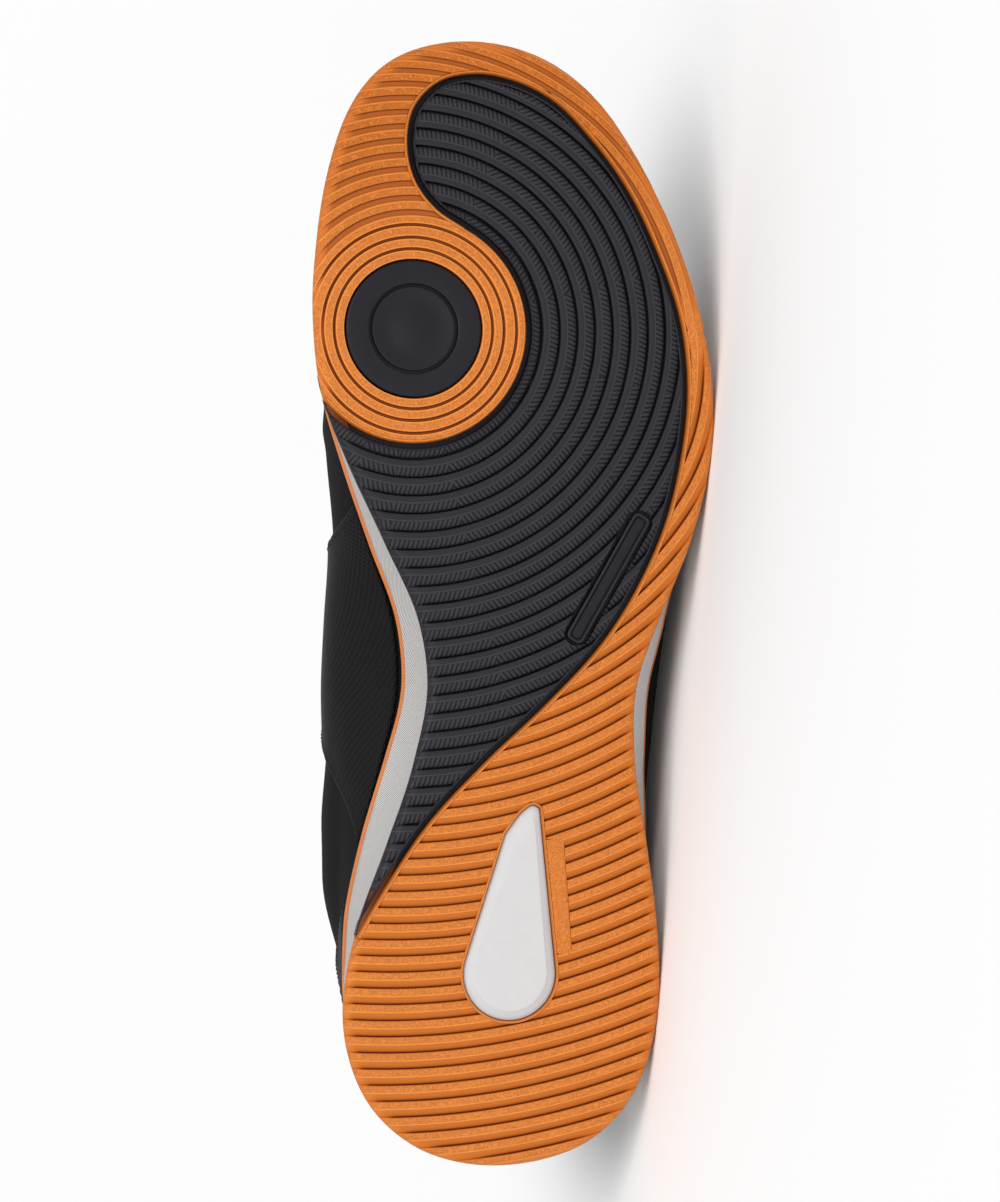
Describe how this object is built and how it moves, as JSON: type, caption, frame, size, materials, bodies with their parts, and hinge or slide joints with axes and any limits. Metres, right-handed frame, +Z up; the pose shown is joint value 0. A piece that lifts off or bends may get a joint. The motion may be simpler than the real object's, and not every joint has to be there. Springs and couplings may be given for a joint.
{
  "type": "indoor soccer shoe",
  "caption": "Left low indoor soccer shoe on its outer side: ribbed rubber sole with a turning disc under the ball, foam wedge, hollow upper, tongue and lace.",
  "frame": {"origin": "on the floor under the middle of the shoe's box, the shoe lying on its outer side", "axes": "+X towards the toe, +Z up from the floor, which is the shoe's inner side, -Y out of the tread"},
  "size_m": [0.2904, 0.1234, 0.1081],
  "materials": {
    "orange_rubber": "satin rubber with a fine leather grain",
    "dark_rubber": "satin rubber with a fine hatch",
    "white_insert": "smooth moulded foam",
    "white_foam": "moulded foam with fine slanted ribs",
    "orange_line": "matte",
    "black_textile": "fine woven and knitted cloth",
    "black_overlay": "embossed synthetic leather",
    "tongue_textile": "padded mesh cloth",
    "lining_textile": "brushed lining",
    "lace_textile": "flat woven lace"
  },
  "bodies": {
    "root": {"outsole": "orange_rubber", "tread_panel": "dark_rubber", "pivot_disc": "dark_rubber", "heel_insert": "white_insert", "midsole": "white_foam", "midsole_rim": "orange_line", "upper": "black_textile", "saddle_medial": "black_overlay", "saddle_lateral": "black_overlay", "heel_counter": "black_overlay", "eyestay": "black_overlay", "tongue": "tongue_textile", "insole": "lining_textile", "lace": "lace_textile"}
  },
  "joints": []
}
